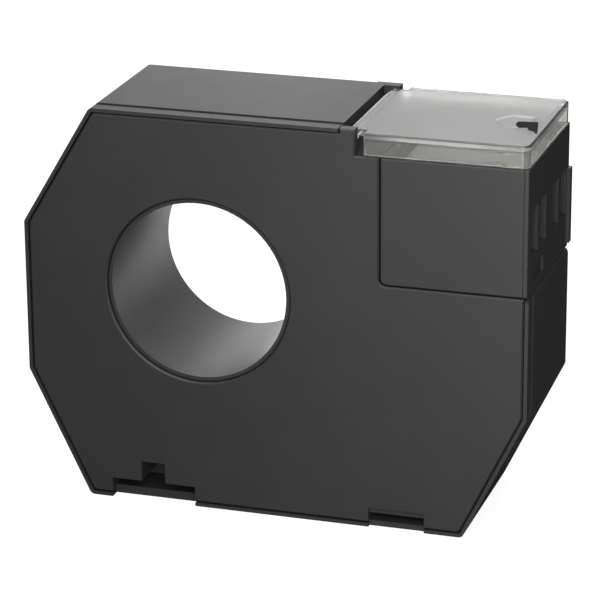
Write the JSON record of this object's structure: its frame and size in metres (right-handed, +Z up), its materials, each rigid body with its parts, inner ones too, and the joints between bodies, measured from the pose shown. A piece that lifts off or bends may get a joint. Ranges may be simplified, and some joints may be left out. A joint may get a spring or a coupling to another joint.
{
  "type": "residual-current transformer",
  "caption": "Flat moulded current transformer with a round conductor window, wire clamps behind side windows and a clear hinged terminal lid.",
  "frame": {"origin": "middle of the underside, on the surface that the case stands on", "axes": "+Z up, +X to the right seen from the front, +Y from the front plate to the back wall, along the conductor window's axis"},
  "size_m": [0.1, 0.033, 0.079],
  "materials": {
    "case_black": "fine spark-eroded moulding grain, anthracite",
    "lid_clear": "clear polycarbonate, lightly frosted inside",
    "block_grey": "light grey moulded plastic",
    "clamp_brass": "stamped, nickel washed",
    "screw_steel": "zinc plated",
    "core_iron": "wound nickel iron strip, dull",
    "core_case_white": "natural nylon",
    "copper_wire": "enamelled copper wire, close wound",
    "foam_grey": "closed cell foam",
    "lead_black": "insulated stranded wire",
    "lead_red": "insulated stranded wire",
    "lead_blue": "insulated stranded wire"
  },
  "bodies": {
    "case": {"rear_shell": "case_black", "front_cover": "case_black", "terminal_housing": "case_black", "terminal_block": "block_grey", "clamp_cages": "clamp_brass", "terminal_screws": "screw_steel", "clamp_plates": "screw_steel", "contact_bars": "clamp_brass", "toroid_core": "core_iron", "core_case": "core_case_white", "core_case_lid": "core_case_white", "test_winding": "copper_wire", "secondary_winding": "copper_wire", "front_cushion": "foam_grey", "rear_cushion": "foam_grey", "measuring_lead_1": "lead_black", "measuring_lead_2": "lead_red", "test_lead_1": "lead_blue", "test_lead_2": "lead_blue"},
    "lid": {"terminal_cover": "lid_clear"}
  },
  "joints": [
    {"name": "lid_hinge", "type": "hinge", "parent": "case", "child": "lid", "pos_m": [0.015, 0, 0.0772], "axis": [0, -1, 0], "range_deg": [0, 100]}
  ]
}
